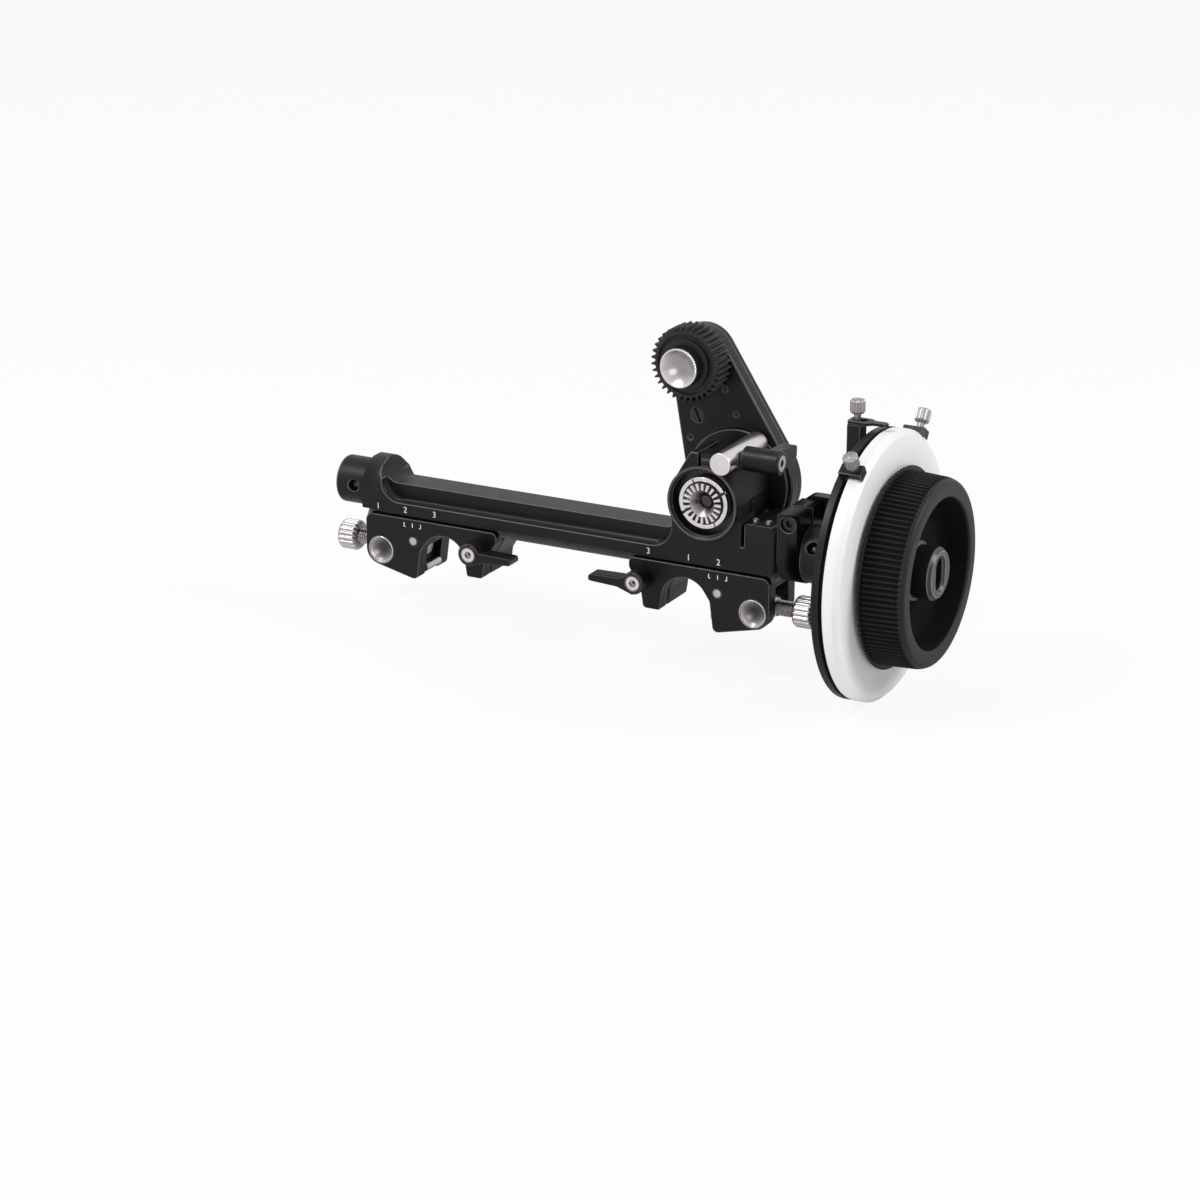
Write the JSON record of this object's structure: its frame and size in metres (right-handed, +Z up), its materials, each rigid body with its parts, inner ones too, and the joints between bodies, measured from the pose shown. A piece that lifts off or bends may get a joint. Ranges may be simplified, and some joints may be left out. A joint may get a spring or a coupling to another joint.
{
  "type": "follow focus unit",
  "caption": "Geared follow focus on a bridge with two rod clamps, a swing arm with a lens gear, a white marking ring, hard stops and a dished handwheel.",
  "frame": {"origin": "midway between the axes of the two support rods, at half the depth of the rod clamps", "axes": "+X along the drive shaft towards the handwheel, +Z up from the rods, -Y towards the operator; the rods run along Y"},
  "size_m": [0.2535, 0.1006, 0.1271],
  "materials": {
    "black_metal": "satin black anodised aluminium",
    "grey_metal": "satin grey",
    "steel": "turned steel",
    "silver": "bright turned aluminium",
    "brass": "cut brass",
    "white_plastic": "smooth satin white, writable",
    "wheel_black": "satin black, ribbed",
    "gear_black": "moulded black acetal"
  },
  "bodies": {
    "base": {"bridge_beam": "black_metal", "dovetail_rail": "grey_metal", "rail_screws": "steel", "boss_set_screws": "steel", "gearbox_flange": "black_metal", "gearbox_bearings": "steel", "saddle_rod": "silver", "index_bracket": "black_metal", "bracket_screw": "steel", "index_arm": "black_metal"},
    "drive": {"drive_shaft": "steel", "shaft_gear": "steel", "left_hub": "black_metal", "right_hub": "black_metal", "hub_balls": "steel", "back_plate": "black_metal", "marking_ring": "white_plastic", "handwheel": "wheel_black", "crank_socket": "silver"},
    "output": {"output_shaft": "steel", "rosette": "silver", "cross_gear": "steel"},
    "swing_arm": {"arm_body": "black_metal", "arm_cover": "black_metal", "arm_cover_screws": "steel", "backlash_screw": "black_metal", "idler_axle": "steel", "spindle_bearings": "steel"},
    "sun": {"sun_gear": "steel"},
    "idler": {"idler_gear": "brass"},
    "spindle": {"gear_spindle": "steel", "arm_output_gear": "steel", "drive_gear": "gear_black"},
    "gear_nut": {"gear_nut": "silver"},
    "collar_lever": {"collar_lever": "black_metal", "collar_lever_screw": "steel"},
    "index_pointer": {"index_pointer": "black_metal"},
    "index_screw": {"index_screw": "silver"},
    "stop_a": {"stop_a_block": "black_metal"},
    "stop_b": {"stop_b_block": "black_metal"},
    "stop_a_screw": {"stop_a_screw": "silver"},
    "stop_b_screw": {"stop_b_screw": "silver"},
    "left_clamp": {"left_clamp_body": "black_metal", "left_barrel_nut": "silver", "left_pivot_pin": "steel"},
    "left_latch": {"left_latch_jaw": "black_metal", "left_latch_pins": "steel"},
    "left_stud": {"left_thumbscrew_stud": "steel"},
    "left_knob": {"left_thumbscrew_knob": "silver"},
    "left_kip": {"left_kip_lever": "black_metal", "left_kip_screw": "steel"},
    "right_clamp": {"right_clamp_body": "black_metal", "right_barrel_nut": "silver", "right_pivot_pin": "steel"},
    "right_latch": {"right_latch_jaw": "black_metal", "right_latch_pins": "steel"},
    "right_stud": {"right_thumbscrew_stud": "steel"},
    "right_knob": {"right_thumbscrew_knob": "silver"},
    "right_kip": {"right_kip_lever": "black_metal", "right_kip_screw": "steel"}
  },
  "joints": [
    {"name": "drive_spin", "type": "hinge", "parent": "base", "child": "drive", "pos_m": [0, 0, 0.0232], "axis": [1, 0, 0], "continuous": true},
    {"name": "output_spin", "type": "hinge", "parent": "base", "child": "output", "pos_m": [0.0597, 0, 0.04017], "axis": [0, 1, 0], "continuous": true},
    {"name": "arm_swing", "type": "hinge", "parent": "base", "child": "swing_arm", "pos_m": [0.0597, 0, 0.04017], "axis": [0, 1, 0], "range_deg": [-60, 55]},
    {"name": "sun_spin", "type": "hinge", "parent": "swing_arm", "child": "sun", "pos_m": [0.0597, 0, 0.04017], "axis": [0, 1, 0], "continuous": true},
    {"name": "idler_spin", "type": "hinge", "parent": "swing_arm", "child": "idler", "pos_m": [0.04938, 0, 0.06663], "axis": [0, 1, 0], "continuous": true},
    {"name": "spindle_spin", "type": "hinge", "parent": "swing_arm", "child": "spindle", "pos_m": [0.04197, 0, 0.08564], "axis": [0, 1, 0], "continuous": true},
    {"name": "gear_nut_turn", "type": "hinge", "parent": "spindle", "child": "gear_nut", "pos_m": [0.04197, 0, 0.08564], "axis": [0, -1, 0], "range_deg": [0, 360]},
    {"name": "collar_lever_turn", "type": "hinge", "parent": "base", "child": "collar_lever", "pos_m": [0, -0.0035, 0.057], "axis": [1, 0, 0], "range_deg": [0, 120]},
    {"name": "index_slide", "type": "slide", "parent": "base", "child": "index_pointer", "axis": [1, 0, 0], "range_m": [-0.0025, 0.0004]},
    {"name": "index_screw_turn", "type": "hinge", "parent": "base", "child": "index_screw", "pos_m": [0.1152, 0, 0.0754], "axis": [0, 0, 1], "range_deg": [0, 180]},
    {"name": "stop_a_move", "type": "hinge", "parent": "base", "child": "stop_a", "pos_m": [0.1272, 0, 0.0232], "axis": [1, 0, 0], "range_deg": [-27, 150]},
    {"name": "stop_a_screw_turn", "type": "hinge", "parent": "stop_a", "child": "stop_a_screw", "pos_m": [0.1272, -0.02997, 0.06848], "axis": [0, -0.5519, 0.8339], "range_deg": [0, 180]},
    {"name": "stop_b_move", "type": "hinge", "parent": "base", "child": "stop_b", "pos_m": [0.1272, 0, 0.0232], "axis": [1, 0, 0], "range_deg": [-150, 27]},
    {"name": "stop_b_screw_turn", "type": "hinge", "parent": "stop_b", "child": "stop_b_screw", "pos_m": [0.1272, 0.03036, 0.06822], "axis": [0, 0.5592, 0.829], "range_deg": [0, 180]},
    {"name": "left_clamp_slide", "type": "slide", "parent": "base", "child": "left_clamp", "axis": [1, 0, 0], "range_m": [-0.011, 0.013]},
    {"name": "left_stud_slide", "type": "slide", "parent": "left_clamp", "child": "left_stud", "axis": [-1, 0, 0], "range_m": [-0.0017, 0.0011]},
    {"name": "left_knob_turn", "type": "hinge", "parent": "left_stud", "child": "left_knob", "pos_m": [-0.095, 0, 0], "axis": [-1, 0, 0], "range_deg": [-612.5, 396.5]},
    {"name": "left_latch_swing", "type": "hinge", "parent": "left_clamp", "child": "left_latch", "pos_m": [-0.0655, 0, 0.0057], "axis": [0, 1, 0], "range_deg": [-13.04, 8.45]},
    {"name": "left_kip_turn", "type": "hinge", "parent": "left_clamp", "child": "left_kip", "pos_m": [-0.0353, 0, 0.0077], "axis": [0, -1, 0], "range_deg": [0, 95]},
    {"name": "right_clamp_slide", "type": "slide", "parent": "base", "child": "right_clamp", "axis": [1, 0, 0], "range_m": [-0.031, 0]},
    {"name": "right_stud_slide", "type": "slide", "parent": "right_clamp", "child": "right_stud", "axis": [1, 0, 0], "range_m": [0, 0.0024]},
    {"name": "right_knob_turn", "type": "hinge", "parent": "right_stud", "child": "right_knob", "pos_m": [0.095, 0, 0], "axis": [1, 0, 0], "range_deg": [0, 864.5]},
    {"name": "right_latch_swing", "type": "hinge", "parent": "right_clamp", "child": "right_latch", "pos_m": [0.0655, 0, 0.0057], "axis": [0, -1, 0], "range_deg": [0, 18.39]},
    {"name": "right_kip_turn", "type": "hinge", "parent": "right_clamp", "child": "right_kip", "pos_m": [0.0353, 0, 0.0077], "axis": [0, -1, 0], "range_deg": [0, 95]}
  ],
  "couplings": [
    {"joint": "output_spin", "follows": "drive_spin", "ratio": -0.5},
    {"joint": "sun_spin", "follows": "drive_spin", "ratio": -0.5},
    {"joint": "idler_spin", "follows": "drive_spin", "ratio": 0.81481},
    {"joint": "spindle_spin", "follows": "drive_spin", "ratio": -0.91667},
    {"joint": "left_knob_turn", "follows": "left_stud_slide", "rad_per_m": 6283.2},
    {"joint": "left_latch_swing", "follows": "left_stud_slide", "rad_per_m": 133.33},
    {"joint": "right_knob_turn", "follows": "right_stud_slide", "rad_per_m": 6283.2},
    {"joint": "right_latch_swing", "follows": "right_stud_slide", "rad_per_m": 133.33}
  ]
}
